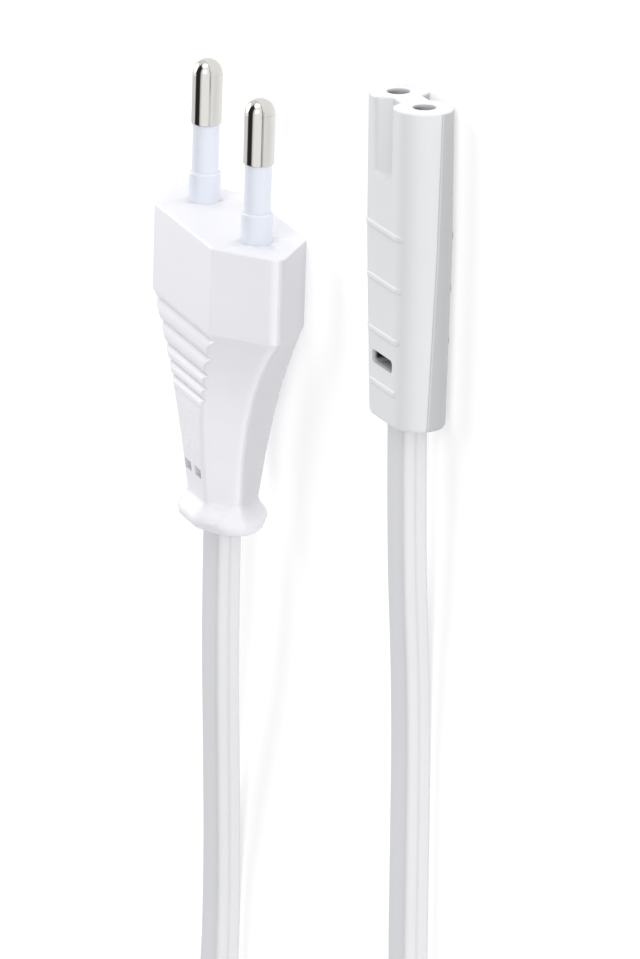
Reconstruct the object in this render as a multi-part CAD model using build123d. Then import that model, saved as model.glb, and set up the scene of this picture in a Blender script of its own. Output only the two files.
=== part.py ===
"""Mains lead: a flat two-pin plug, a flat two-core cord and a two-hole appliance connector.

Millimetres, +Z up. The lead lies on the plane Z = 0, the plug and the connector each on a broad
side, with the pins and the connector's mouth towards +Y. The origin is on that plane, under the
middle of the plug and the connector. The spare cord is wound into one tied coil beyond them.
"""
from build123d import *
import math
import os

# Plug: places are distances from its engagement face, towards the cord
plug_place = (-22.43, 4.33)
plug_width = 35.0
plug_thick = 13.3
plug_flat = 20.6
plug_length = 41.2
head_length = 11.7
tip_round = 1.5
shoulder_round = 1.2
face_round = 0.4

# Plug grip: the head tapers to a neck, and a collar ends it
neck_width = 12.2
neck_flat = 6.6
neck_thick = 7.6
tip_taper = 2.5
flat_taper = 2.2
thick_taper = 0.85
collar_length = 4.0
collar_width = 16.4
collar_thick = 10.6
collar_flat = 6.0
collar_round = 4.0
collar_end_round = 1.5

# Plug ribs and the two mould pockets on each broad side
ribs_start = 11.5
ribs_at = 12.9
rib_lengths = (2.85, 2.7, 2.0, 1.85, 1.5)
rib_depth = 0.6
last_rib_step = 0.12
pocket_to_neck = 3.6
pocket_pitch = 3.5
pocket_width = 2.2
pocket_length = 1.35
pocket_depth = 0.9

# Pins and the hard bridge that holds them
pin_spacing = 18.6
pin_diameter = 4.0
pin_length = 19.3
pin_metal = 8.8
shank_diameter = 2.8
sleeve_diameter = 3.5
ring_diameter = 4.15
ring_height = 4.0
ring_round = 0.25
bridge_at = 1.2
bridge_length = 5.0
bridge_width = 26.0
bridge_thick = 8.0
bridge_round = 1.0
pin_barrel_diameter = 3.4
pin_barrel_length = 5.2

# Cord: flat sheath, two insulated cores, bare wire at each end
cord_width = 6.0
cord_thick = 3.4
cord_edge = 0.8
core_diameter = 2.2
core_pitch = 2.7
wire_diameter = 1.1
wire_grip = 4.4
wire_bare = 1.2
plug_sheath_at = 30.0
connector_sheath_at = 36.0

# Appliance connector: places are distances from its face, towards the cord
connector_place = (30.74, 36.10)
connector_yaw = 2.67
connector_length = 41.8
connector_straight = 18.0
lobe_diameter = 7.5
hole_spacing = 8.6
hole_diameter = 3.0
mouth_wall = 3.5
connector_end_width = 14.0
connector_end_thick = 6.9
connector_face_round = 0.3
connector_end_round = 0.6

# Connector channels between the lobes, grip bars and the mould window, on each broad side
channel_length = 9.6
channel_point = 10.9
channel_top = 6.2
channel_floor = 2.6
channel_edge = 0.7
waist_thick = 3.8
bars_at = 16.6
bar_pitch = 6.85
bar_count = 4
bar_length = 8.4
bar_shorter = 0.45
bar_width = 0.9
bar_top = 0.4
bar_height = 0.15
window_at = 33.8
window_length = 6.7
window_width = 1.7
window_round = 0.6
window_depth = 2.2

# Contacts and their hard carrier inside the connector
carrier_length = 12.5
carrier_thick = 5.2
carrier_wall = 0.6
carrier_recess = 0.3
carrier_waist = 2.6
carrier_waist_width = 4.6
contact_diameter = 3.6
contact_bore = 2.4
contact_length = 9.5
contact_depth = 8.5
contact_slit = 0.5
contact_barrel_diameter = 2.8
contact_barrel_length = 5.2

# Coil of spare cord, wound on edge in two layers, and its tie
coil_centre = (7.77, -150.67)
coil_radius = 39.2
coil_columns = 4
coil_pitch = 3.55
coil_layers = 2
layer_gap = 0.2
enter_angle = 180.0
leave_angle = 12.0
tail_straight = 18.0
tail_length = 46.0
tie_thick = 0.5
tie_width = 12.0
tie_angle = 262.0

# Places on the cord's way between the plug or connector and the coil
plug_lead_out = 54.0
plug_sag = (-28.33, -74.67, 3.4)
plug_lead_in = 14.0
connector_lead_out = 57.0
connector_bends = [(31.77, -43.67), (32.77, -65.67)]
connector_lead_in = 15.0

# Share of the shorter run beside a corner that the cord's arc takes
arc_share = 0.45

# Flat steps that stand for a quarter round: on the small edges, and at the collar's end
edge_steps = 2
collar_steps = 3

# Sections of the grip and of the collar's flare, as shares of their length
grip_shares = (0, 0.1, 0.22, 0.36, 0.54, 0.76, 1)
flare_shares = (0.35, 0.7)

# Values that follow from those above
neck_at = plug_length - collar_length
collar_at = plug_length - collar_end_round
pocket_at = neck_at - pocket_to_neck
lobe_radius = lobe_diameter / 2
connector_width = hole_spacing + lobe_diameter
carrier_at = mouth_wall + carrier_recess
plug_wire_at = bridge_at + bridge_length + pin_barrel_length - wire_grip
plug_core_at = plug_wire_at + wire_grip + wire_bare
contact_barrel_end = carrier_at + contact_length + contact_barrel_length
connector_wire_at = contact_barrel_end - wire_grip
connector_core_at = contact_barrel_end + wire_bare
coil_height = coil_layers * cord_width + (coil_layers - 1) * layer_gap
layer_turns = coil_columns - (enter_angle - leave_angle) / 360 / coil_layers
coil_inner = coil_radius - layer_turns * coil_pitch - cord_thick / 2
coil_outer = coil_radius + cord_thick / 2


def across(distance):
    """Plane across a plug or connector, at a distance from its face."""
    return Plane.XZ.offset(distance)


def rod(diameter, start, end, x=0.0):
    """Round bar along the axis direction, between two distances from the face."""
    return extrude(across(start) * Pos(x, 0) * Circle(diameter / 2), end - start)


def both_broad_sides(shape):
    """A shape on the upper broad side, with its mirror image on the lower one."""
    return [shape, mirror(shape, Plane.XY)]


def sharp_tip(half_width, half_flat, half_thick, rounding):
    """Half-width of the sharp hexagon whose rounded tips reach half_width."""
    spare = rounding - (half_width - half_flat)
    narrow = 1 - (rounding / half_thick) ** 2
    run = (-spare + math.sqrt(spare**2 - narrow * (spare**2 - rounding**2))) / narrow
    return half_flat + run


def flat_hexagon(width, flat, thick, tip, shoulder):
    """Flat six-sided section with rounded tips and shoulders."""
    side, top = flat / 2, thick / 2
    point = sharp_tip(width / 2, side, top, tip)
    corners = [(point, 0), (side, top), (-side, top), (-point, 0), (-side, -top), (side, -top)]
    section = make_face(Polyline(*corners, close=True))
    section = fillet(section.vertices().filter_by_position(Axis.Y, -0.01, 0.01), tip)
    broad = section.vertices().group_by(Axis.Y)
    return fillet(broad[0] + broad[-1], shoulder)


def plug_section(distance, width, flat, thick, tip, shoulder, inset=0.0):
    """Section across the plug, drawn in on all sides by an inset."""
    return across(distance) * flat_hexagon(
        width - 2 * inset, flat - inset, thick - 2 * inset, tip - inset, shoulder - inset
    )


def quarter_round(radius, steps):
    """Places round an edge: how far each is drawn in, and how far it lies from the end."""
    turns = [math.pi / 2 * step / steps for step in range(steps + 1)]
    return [(radius * (1 - math.cos(turn)), radius * (1 - math.sin(turn))) for turn in turns]


def taper(head, neck, power, distance):
    """Size of the grip between the head and the neck: quick at first, then almost parallel."""
    way = (distance - head_length) / (neck_at - head_length)
    return neck + (head - neck) * (1 - way) ** power


def head_sections():
    """Sections of the plug's head, from its rounded face to where the grip starts."""
    size = (plug_width, plug_flat, plug_thick, tip_round, shoulder_round)
    edge = reversed(quarter_round(face_round, edge_steps))
    return [plug_section(place, *size, inset) for inset, place in edge]


def grip_sections():
    """Sections of the plug's grip, from its head to its neck, closest where it narrows fastest."""
    sections = []
    for way in grip_shares:
        distance = head_length + way * (neck_at - head_length)
        width = taper(plug_width, neck_width, tip_taper, distance)
        flat = taper(plug_flat, neck_flat, flat_taper, distance)
        thick = taper(plug_thick, neck_thick, thick_taper, distance)
        sections.append(plug_section(distance, width, flat, thick, tip_round, shoulder_round))
    return sections


def collar_sections():
    """Sections of the oval collar, from the flare beyond the neck to its rounded end."""
    neck = (neck_width, neck_flat, neck_thick, tip_round, shoulder_round)
    collar = (collar_width, collar_flat, collar_thick, collar_round, collar_round)
    sections = []
    for way in flare_shares:
        swell = (1 - math.cos(math.pi * way)) / 2
        size = [start + swell * (end - start) for start, end in zip(neck, collar)]
        sections.append(plug_section(neck_at + way * (collar_at - neck_at), *size))
    end = quarter_round(collar_end_round, collar_steps)
    return sections + [plug_section(plug_length - place, *collar, inset) for inset, place in end]


def rib_cutter():
    """What is cut from a broad side to leave the ribs: the space above their stepped outline."""

    def surface(distance):
        return taper(plug_thick, neck_thick, thick_taper, distance) / 2

    level = plug_thick / 2
    top = level + rib_depth
    valley = surface(ribs_at) - rib_depth
    run = (ribs_at - ribs_start) * (top - valley) / (level - valley)
    start = (-(ribs_at - run), top)
    last = (-ribs_at, valley)
    edges = [Line(start, last)]
    place = ribs_at
    for number, length in enumerate(rib_lengths):
        crest = (-(place + length / 2), surface(place + length / 2))
        place = place + length
        depth = rib_depth if number < len(rib_lengths) - 1 else last_rib_step
        valley = (-place, surface(place) - depth)
        edges.append(ThreePointArc(last, crest, valley))
        last = valley
    edges.append(Polyline(last, (last[0], top), start))
    return extrude(Plane.YZ * make_face(edges), plug_width, both=True)


def pocket():
    """Pair of small mould pockets on the upper broad side, by the neck."""
    floor = taper(plug_thick, neck_thick, thick_taper, pocket_at) / 2 - pocket_depth
    pair = Sketch() + GridLocations(pocket_pitch, 0, 2, 1) * Rectangle(pocket_width, pocket_length)
    return extrude(Pos(0, -pocket_at, floor) * pair, plug_thick)


def plug_outside():
    """The plug's moulded form, with nothing inside it."""
    body = loft(head_sections() + grip_sections() + collar_sections(), ruled=True)
    for cutter in both_broad_sides(rib_cutter()) + both_broad_sides(pocket()):
        body = body - cutter
    return body


def plug_pin(x):
    """Pin with a domed tip, a thin shank through the bridge and a crimp barrel behind it."""
    back = bridge_at + bridge_length
    barrel_end = back + pin_barrel_length
    dome = pin_diameter / 2
    pin = rod(pin_diameter, dome - pin_length, pin_metal - pin_length, x)
    pin += Pos(x, pin_length - dome, 0) * Sphere(dome)
    pin += rod(shank_diameter, pin_metal - pin_length, back, x)
    pin += rod(pin_barrel_diameter, back, barrel_end, x)
    return pin - rod(wire_diameter, plug_wire_at, barrel_end, x)


def pin_bridge():
    """Hard bridge inside the plug, with a stepped sleeve round each pin."""
    bridge = Pos(0, -(bridge_at + bridge_length / 2), 0) * Box(bridge_width, bridge_length, bridge_thick)
    bridge = fillet(bridge.edges().filter_by(Axis.Y), bridge_round)
    for x in (-pin_spacing / 2, pin_spacing / 2):
        ring = rod(ring_diameter, -ring_height, bridge_at, x)
        bridge += chamfer(ring.edges().sort_by(Axis.Y)[-1], ring_round)
        bridge += rod(sleeve_diameter, pin_metal - pin_length, bridge_at, x)
    return bridge


def core(start, end, spacing, side):
    """Insulated core from its contact at start to the sheath at end, drawn in to the core pitch."""
    round_core = Circle(core_diameter / 2)
    far = across(start) * Pos(side * spacing / 2, 0) * round_core
    near = across(end) * Pos(side * core_pitch / 2, 0) * round_core
    return loft([far, near], ruled=True)


def sheath(plane):
    """Section of the flat cord on a plane, with its width along the plane's X."""
    outline = Rectangle(cord_width, cord_thick)
    return plane * chamfer(outline.vertices(), cord_edge)


def narrowed(start, end, distance):
    """Size of the connector that is straight at first and then narrows evenly to its end."""
    way = max(0.0, distance - connector_straight) / (connector_length - connector_straight)
    return start + way * (end - start)


def connector_section(distance, inset=0.0):
    """Slot-shaped section of the connector, drawn in on all sides by an inset."""
    width = narrowed(connector_width, connector_end_width, distance)
    thick = narrowed(lobe_diameter, connector_end_thick, distance)
    return across(distance) * SlotOverall(width - 2 * inset, thick - 2 * inset)


def connector_surface(distance):
    """Height of the connector's broad side above its axis."""
    return narrowed(lobe_diameter, connector_end_thick, distance) / 2


def channel():
    """Channel between the lobes on the upper broad side, run out to a point."""
    floor, top = waist_thick / 2, lobe_radius
    left = [(-channel_top / 2, top), (-channel_top / 2 + channel_edge, top - channel_edge / 2)]
    edge = [(-x, z) for x, z in reversed(left)]
    corners = left + [(-channel_floor / 2, floor), (channel_floor / 2, floor)] + edge
    above = [(channel_top / 2, top + lobe_radius), (-channel_top / 2, top + lobe_radius)]
    section = make_face(Polyline(*corners, *above, close=True))
    mouth = extrude(across(0) * section, channel_length)
    end = make_face(Polyline(*corners, close=True))
    tip = Vertex(0, -channel_point, connector_surface(channel_point))
    return mouth + loft([across(channel_length) * end, tip])


def bars():
    """Low grip bars with sloping sides on the upper broad side, each shorter than the one before."""
    half, top = bar_width / 2, bar_top / 2
    left = [(-half, -bar_height), (-half, 0), (-top, bar_height)]
    ridge = make_face(Polyline(*left, *[(-y, z) for y, z in reversed(left)], close=True))
    row = []
    for number in range(bar_count):
        place = bars_at + number * bar_pitch
        length = bar_length - number * bar_shorter
        section = Plane.YZ * Pos(-place, connector_surface(place)) * ridge
        row.append(extrude(section, length / 2, both=True))
    return row


def window():
    """Oblong mould window sunk into the upper broad side."""
    floor = connector_surface(window_at) - window_depth
    outline = RectangleRounded(window_length, window_width, window_round)
    return extrude(Pos(0, -window_at, floor) * outline, lobe_diameter)


def connector_outside():
    """The connector's moulded form, with its mouth but nothing inside it."""
    mouth_edge = reversed(quarter_round(connector_face_round, edge_steps))
    sections = [connector_section(place, inset) for inset, place in mouth_edge]
    sections.append(connector_section(connector_straight))
    for inset, place in quarter_round(connector_end_round, edge_steps):
        sections.append(connector_section(connector_length - place, inset))
    body = loft(sections, ruled=True)
    for bar in bars():
        for one in both_broad_sides(bar):
            body = body + one
    for cutter in both_broad_sides(channel()) + both_broad_sides(window()):
        body = body - cutter
    for x in (-hole_spacing / 2, hole_spacing / 2):
        body = body - rod(hole_diameter, 0, mouth_wall, x)
    return body


def contact_outside(x):
    """Outer form of a contact: a tube with a thinner crimp barrel behind it."""
    tube_end = carrier_at + contact_length
    tube = rod(contact_diameter, carrier_at, tube_end, x)
    return tube + rod(contact_barrel_diameter, tube_end, contact_barrel_end, x)


def contact(x):
    """Slit spring contact, open towards the mouth, with a bored crimp barrel."""
    tube = contact_outside(x) - rod(contact_bore, carrier_at, carrier_at + contact_depth, x)
    slit = Pos(x, -(carrier_at + contact_depth / 2), contact_diameter / 2) * Box(
        contact_slit, contact_depth, contact_diameter
    )
    return tube - slit - rod(wire_diameter, connector_wire_at, contact_barrel_end, x)


def contact_carrier():
    """Hard block that holds both contacts behind the mouth, thinner between them under the channels."""
    width = hole_spacing + contact_diameter + 2 * carrier_wall
    section = SlotOverall(width, carrier_thick)
    notch = (carrier_thick - carrier_waist) / 2
    for side in (-1, 1):
        section -= Pos(0, side * (carrier_thick - notch) / 2) * Rectangle(carrier_waist_width, notch)
    return extrude(across(carrier_at) * section, carrier_length)


def coil_point(angle, height):
    """Place on the outermost turn, and the way that the cord runs there."""
    turn = math.radians(angle)
    place = Vector(coil_centre[0], coil_centre[1], height)
    place += Vector(math.cos(turn), math.sin(turn), 0) * coil_radius
    return place, Vector(-math.sin(turn), math.cos(turn), 0)


def tail_end(angle, outward, beyond=0.0):
    """Where the cord lies flat again, a tail's length from the coil, or a place in line beyond it."""
    place, way = coil_point(angle, cord_thick / 2)
    return place + way * (outward * (tail_length + beyond))


def coil_tail(angle, outward, height):
    """Cord that leaves the coil on edge and comes down to lie flat."""
    place, way = coil_point(angle, height)
    out = way * outward
    beside = out.cross(Vector(0, 0, 1))
    knee = Plane(place + out * tail_straight, x_dir=beside, z_dir=out)
    flat = Plane(tail_end(angle, outward), x_dir=beside, z_dir=out)
    on_edge = Rot(0, 0, 90) * sheath(Plane.XY)
    straight = extrude(Plane(place, x_dir=beside, z_dir=out) * on_edge, tail_straight)
    return straight + loft([knee * on_edge, sheath(flat)], ruled=True)


def bundle(grow):
    """Section of the wound turns, grown on all sides, on the XZ plane at the coil's middle."""
    middle = Pos((coil_outer + coil_inner) / 2, tie_thick + coil_height / 2)
    return Plane.XZ * middle * Rectangle(coil_outer - coil_inner + 2 * grow, coil_height + 2 * grow)


def cord_coil():
    """Outer form of the wound turns, with the two ends of cord that leave them."""
    ring = Pos(*coil_centre) * revolve(bundle(0), Axis.Z)
    low = tie_thick + cord_width / 2
    high = tie_thick + coil_height - cord_width / 2
    return ring + coil_tail(enter_angle, -1, low) + coil_tail(leave_angle, 1, high)


def coil_tie():
    """Flat band round the turns at one place."""
    arc = math.degrees(tie_width / ((coil_outer + coil_inner) / 2))
    band = bundle(tie_thick) - bundle(0)
    return Pos(*coil_centre) * Rot(0, 0, tie_angle) * revolve(band, Axis.Z, arc)


def cord_run(name, route, section):
    """Flat cord along straight runs joined by arcs as large as the runs allow."""
    radii = []
    for before, corner, after in zip(route, route[1:], route[2:]):
        turn = (corner - before).get_angle(after - corner)
        shorter = min((corner - before).length, (after - corner).length)
        radii.append(arc_share * shorter / math.tan(math.radians(turn / 2)))
    path = FilletPolyline(*route, radius=radii)
    tube = sweep(section, path)
    print(f"{name}: radii {[round(r) for r in radii]}, length {path.length:.1f},")
    print(f"  volume {tube.volume:.1f}, section x length {section.area * path.length:.1f}")
    return tube


plug_at = Pos(*plug_place, plug_thick / 2)
connector_height = connector_surface(bars_at) + bar_height
connector_at = Pos(*connector_place, connector_height) * Rot(0, 0, connector_yaw)


def on_axis(place, distance):
    """Point on the axis of the placed plug or connector."""
    return (place * Pos(0, -distance, 0)).position


def plug_nodes():
    """The plug and what is moulded into it, in the plug's own frame."""
    nodes = {"plug_body": plug_outside(), "pin_bridge": pin_bridge()}
    for word, side in (("left", -1), ("right", 1)):
        x = side * pin_spacing / 2
        nodes["pin_" + word] = plug_pin(x)
        nodes["plug_wire_" + word] = rod(wire_diameter, plug_wire_at, plug_core_at, x)
        nodes["plug_core_" + word] = core(plug_core_at, plug_sheath_at, pin_spacing, side)
        nodes["pin_bridge"] -= rod(shank_diameter, -pin_length, plug_length, x)
        nodes["plug_body"] -= rod(ring_diameter, -ring_height, bridge_at, x)
        nodes["plug_body"] -= rod(pin_barrel_diameter, bridge_at, plug_core_at - wire_bare, x)
        nodes["plug_body"] -= nodes["plug_wire_" + word]
        nodes["plug_body"] -= nodes["plug_core_" + word]
    nodes["plug_body"] -= nodes["pin_bridge"]
    nodes["plug_body"] -= extrude(sheath(across(plug_sheath_at)), plug_length)
    return nodes


def connector_nodes():
    """The connector and what is moulded into it, in the connector's own frame."""
    nodes = {"connector_body": connector_outside() - contact_carrier(), "contact_carrier": contact_carrier()}
    for word, side in (("left", -1), ("right", 1)):
        x = side * hole_spacing / 2
        nodes["contact_" + word] = contact(x)
        nodes["connector_wire_" + word] = rod(wire_diameter, connector_wire_at, connector_core_at, x)
        nodes["connector_core_" + word] = core(connector_core_at, connector_sheath_at, hole_spacing, side)
        nodes["contact_carrier"] -= contact_outside(x)
        nodes["connector_body"] -= rod(contact_diameter, mouth_wall, carrier_at, x)
        nodes["connector_body"] -= contact_outside(x)
        nodes["connector_body"] -= nodes["connector_wire_" + word]
        nodes["connector_body"] -= nodes["connector_core_" + word]
    nodes["connector_body"] -= extrude(sheath(across(connector_sheath_at)), connector_length)
    return nodes


def cord_nodes():
    """The cord from the plug to the coil, the tied coil, and on to the connector."""
    plug_route = [on_axis(plug_at, plug_sheath_at), on_axis(plug_at, plug_lead_out), Vector(*plug_sag)]
    plug_route += [tail_end(enter_angle, -1, plug_lead_in), tail_end(enter_angle, -1)]
    connector_route = [on_axis(connector_at, place) for place in (connector_sheath_at, connector_lead_out)]
    connector_route += [Vector(*bend, cord_thick / 2) for bend in connector_bends]
    connector_route += [tail_end(leave_angle, 1, connector_lead_in), tail_end(leave_angle, 1)]
    at_plug = plug_at * sheath(across(plug_sheath_at))
    at_connector = connector_at * sheath(across(connector_sheath_at))
    return {
        "cord_at_plug": cord_run("cord_at_plug", plug_route, at_plug),
        "cord_coil": cord_coil(),
        "coil_tie": coil_tie(),
        "cord_at_connector": cord_run("cord_at_connector", connector_route, at_connector),
    }


nodes = {name: plug_at * shape for name, shape in plug_nodes().items()}
nodes |= {name: connector_at * shape for name, shape in connector_nodes().items()}
nodes |= cord_nodes()

os.makedirs("parts", exist_ok=True)
for name, shape in nodes.items():
    export_step(shape, f"parts/{name}.step")
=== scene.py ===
"""Looks of a white mains lead: a flat plug, a flat cord with a tied coil, and an appliance connector.

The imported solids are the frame. Each operator dresses or adds one group of pieces in that frame, in metres.
"""
import math

import bmesh
import bpy
from bpy.props import FloatProperty, FloatVectorProperty, IntProperty, PointerProperty
from mathutils import Matrix, Vector


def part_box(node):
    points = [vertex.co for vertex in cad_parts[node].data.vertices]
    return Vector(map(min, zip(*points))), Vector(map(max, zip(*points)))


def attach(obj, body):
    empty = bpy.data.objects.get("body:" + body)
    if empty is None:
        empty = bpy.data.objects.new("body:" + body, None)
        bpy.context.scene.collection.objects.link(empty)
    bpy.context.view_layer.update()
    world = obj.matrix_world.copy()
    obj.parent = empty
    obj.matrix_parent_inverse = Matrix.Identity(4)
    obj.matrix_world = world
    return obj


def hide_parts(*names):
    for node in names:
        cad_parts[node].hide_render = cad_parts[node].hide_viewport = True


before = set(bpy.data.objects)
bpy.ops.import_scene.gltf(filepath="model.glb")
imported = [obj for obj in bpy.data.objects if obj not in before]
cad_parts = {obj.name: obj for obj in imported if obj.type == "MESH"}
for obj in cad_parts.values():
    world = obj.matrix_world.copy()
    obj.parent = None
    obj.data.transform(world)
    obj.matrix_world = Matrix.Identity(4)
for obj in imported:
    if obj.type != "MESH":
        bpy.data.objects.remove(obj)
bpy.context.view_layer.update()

bl_info = {
    "name": "White Mains Lead",
    "version": (1, 0, 0),
    "blender": (4, 5, 0),
    "location": "View3D > Sidebar > Lead",
    "description": "Dresses a flat mains lead with its plug, cord, coil and connector",
    "category": "Object",
}

PLUG_LOW, PLUG_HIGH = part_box("plug_body")
PLUG_X = (PLUG_LOW.x + PLUG_HIGH.x) / 2
PLUG_Z = (PLUG_LOW.z + PLUG_HIGH.z) / 2
PIN_LOW, PIN_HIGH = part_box("pin_left")
PIN_Z = (PIN_LOW.z + PIN_HIGH.z) / 2

# The plug's ribs: the first one's distance from the face, then the length and the strength of the painted
# shade of each
RIBS_AT = 0.0129
RIBS = ((0.00285, 0.23), (0.0027, 0.20), (0.0020, 0.14), (0.00185, 0.12), (0.0015, 0.11))
# The first rib's height above the plug's middle and its reach to each side,
# each with how fast it shrinks along the plug
RIB_LEVEL = 0.00654
RIB_FALL = 0.099
RIB_REACH = 0.0096
RIB_NARROWING = 0.44

# Middle of the pebbled area behind the ribs, from the plug's face
PEBBLES_AT = 0.0284

# Pins: step under the dome, the dome's share of the radius, round of the foot, and inset of the shank
PIN_STEP = 0.00005
DOME_SHARE = 0.985
FOOT_ROUND = 0.00018
SHANK_INSET = 0.00045

# Sleeves: round of the ring's shoulder, depth of the root in the plug, and round of the bridge's long edges
SHOULDER_ROUND = 0.00028
SLEEVE_ROOT = 0.0012
BRIDGE_ROUND = 0.001

# The connector's section: radius of a lobe, and where and by how much the section shrinks towards the cord
LOBE_RADIUS = 0.00375
CONNECTOR_LENGTH = 0.0418
TAPER_FROM = 0.018
LOBE_SHRINK = 0.0003
SPACING_SHRINK = 0.0015

# Where the connector's holes end for the finish: inner and outer radius of the rim
HOLE_RIM = (0.0016, 0.0017)

# The connector's seam: how far below the axis it lies at the mouth, and its climb towards the cord
SEAM_DROP = 0.0010
SEAM_CLIMB = 0.0287

# Grip bars: distance of the first from the mouth, pitch, size, then the length and the run-out of each
BARS_AT = 0.0166
BAR_PITCH = 0.00685
BAR_WIDTH = 0.001
BAR_ROUND = 0.0003
BAR_ROOT = 0.0009
BAR_SINK = 0.9
BARS = ((0.0124, 0.0016), (0.0114, 0.0015), (0.0104, 0.0012), (0.0088, 0.0007))

# Directions from the coil's middle in which the cord joins and leaves the coil
COIL_ENTER = math.pi
COIL_LEAVE = math.radians(12)
POINTS_PER_TURN = 16

# The tie: direction from the coil's middle, width along the cord, and its thickness and rounds
TIE_AT = math.radians(262)
TIE_WIDTH = 0.012
TIE_CORNER = 0.0006
TIE_THICK = 0.00046
TIE_EDGE = 0.00012
THREADS_PER_METRE = 1600

# Lamps: name, place, aim and size
LAMPS = (
    ("front", (0.85, 0.45, 0.85), (0, -0.03, 0), 0.7),
    ("beyond", (0.10, 1.2, 0.55), (0, 0, 0), 0.9),
    ("left", (-0.95, 0.20, 0.70), (0, -0.02, 0), 0.9),
)
# Bands of the surroundings, in degrees from +X over the top:
# the middle, then how far off it the band starts to fade and how far off it is gone
DARK_STRIP = (98, 18, 27)
DARK_SKYLINE = (2, 2, 4)
BRIGHT_FRONT = (33, 25, 36)


def length_prop(name, description, default):
    return FloatProperty(name=name, description=description, default=default, unit="LENGTH")


def place_prop(name, description, default):
    return FloatVectorProperty(
        name=name, description=description, size=len(default), default=default, unit="LENGTH"
    )


def angle_prop(name, description, degrees):
    return FloatProperty(name=name, description=description, default=math.radians(degrees), unit="ROTATION")


def colour_prop(name, description, default):
    return FloatVectorProperty(name=name, description=description, subtype="COLOR", default=default)


def power_prop(name, description, default):
    return FloatProperty(name=name, description=description, default=default, unit="POWER")


class LeadSizes(bpy.types.PropertyGroup):
    """Sizes of the pieces that are modelled here."""

    cord_width: length_prop("Cord width", "Width of the flat cord", 0.006)
    cord_thick: length_prop("Cord thickness", "Thickness of the flat cord", 0.0034)
    cord_corner: length_prop("Cord corner", "Radius of the cord's four corners", 0.0007)
    cord_crease: length_prop("Cord crease", "Depth of the crease along each narrow side", 0.00010)
    cord_length: length_prop("Cord length", "Length of the whole cord", 1.8)
    coil_centre: place_prop("Coil centre", "Middle of the coil on the floor", (0.00777, -0.15067))
    coil_radius: length_prop("Coil radius", "Radius of the outermost turn's middle", 0.0392)
    coil_pitch: length_prop("Coil pitch", "Distance from one turn to the next", 0.00355)
    coil_turns: IntProperty(
        name="Coil turns", description="Whole turns that the two layers share", default=8
    )
    coil_low: length_prop("Lower layer", "Height of the lower layer's middle", 0.0035)
    coil_high: length_prop("Upper layer", "Height of the upper layer's middle", 0.0097)
    neck_at: length_prop("Neck place", "From the plug's face to its neck", 0.0372)
    pocket_to_neck: length_prop("Pocket place", "From the plug's neck to its pockets", 0.0036)
    pocket_pitch: length_prop("Pocket pitch", "Distance between a pair of pockets", 0.0035)
    pin_metal: length_prop("Bare pin", "Length of bare metal at the end of a pin", 0.0088)
    pin_spacing: length_prop("Pin spacing", "Distance between the pins", 0.0186)
    sleeve_diameter: length_prop("Sleeve diameter", "Diameter of a pin's sleeve", 0.0035)
    ring_diameter: length_prop("Ring diameter", "Diameter of the ring at a sleeve's foot", 0.00415)
    ring_height: length_prop("Ring height", "Height of the ring above the plug's face", 0.004)
    bar_height: length_prop("Bar height", "Height of the connector's grip bars", 0.00017)
    connector_place: place_prop(
        "Connector place", "Middle of the connector's mouth", (0.03074, 0.03610, 0.0039)
    )
    connector_yaw: angle_prop("Connector turn", "Turn of the connector on the floor", 2.67)
    hole_spacing: length_prop("Hole spacing", "Distance between the connector's holes", 0.0086)
    window_at: length_prop("Window place", "From the connector's mouth to its mould window", 0.0338)
    smooth_angle: angle_prop("Smooth angle", "Edges flatter than this are shaded smooth", 32)


class LeadColours(bpy.types.PropertyGroup):
    """Base colours of the finishes, in linear light."""

    plug: colour_prop("Plug", "Moulded plug", (0.838, 0.836, 0.873))
    connector: colour_prop("Connector", "Moulded connector", (0.83, 0.835, 0.855))
    sleeve: colour_prop("Sleeve", "Hard sleeves on the pins", (0.745, 0.775, 0.85))
    nickel: colour_prop("Nickel", "Plated pins", (0.67, 0.655, 0.625))
    cord: colour_prop("Cord", "Narrow sides of the cord's sheath", (0.77, 0.77, 0.79))
    # Broad sides: the narrow sides' colour darkened, as painted shade for how the light falls on them
    cord_flat_shaded: colour_prop("Cord flat", "Broad sides of the cord's sheath", (0.66, 0.665, 0.69))
    tie: colour_prop("Tie", "Woven tie round the coil", (0.72, 0.72, 0.73))
    brass: colour_prop("Brass", "Contacts in the connector", (0.78, 0.60, 0.30))
    copper: colour_prop("Copper", "Bare wires", (0.80, 0.42, 0.26))
    carrier: colour_prop("Carrier", "Hard block round the contacts", (0.55, 0.55, 0.56))
    core_brown: colour_prop("Brown core", "Insulation of the first core", (0.17, 0.07, 0.03))
    core_blue: colour_prop("Blue core", "Insulation of the second core", (0.03, 0.13, 0.42))
    floor: colour_prop("Floor", "Plain floor", (0.60, 0.60, 0.60))


class LeadStage(bpy.types.PropertyGroup):
    """Camera and light."""

    azimuth: angle_prop("Azimuth", "Camera direction, from +X towards +Y", 20.039)
    elevation: angle_prop("Elevation", "Camera height above the floor", 21.064)
    roll: angle_prop("Roll", "Turn of the picture about the line of sight", 1.693)
    distance: length_prop("Distance", "From the camera to its target", 1.6)
    target: place_prop("Target", "Point at the middle of the picture", (-0.00243, -0.025314, 0.001168))
    lens: FloatProperty(name="Lens", description="Focal length in millimetres", default=463.75)
    sky: FloatProperty(name="Sky", description="Brightness of the white surroundings", default=0.90)
    front: power_prop("Front light", "Power of the light above the camera", 2.0)
    beyond: power_prop("Light beyond", "Power of the light beyond the pins", 3.6)
    left: power_prop("Left light", "Power of the light on the far side", 5.0)


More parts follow.
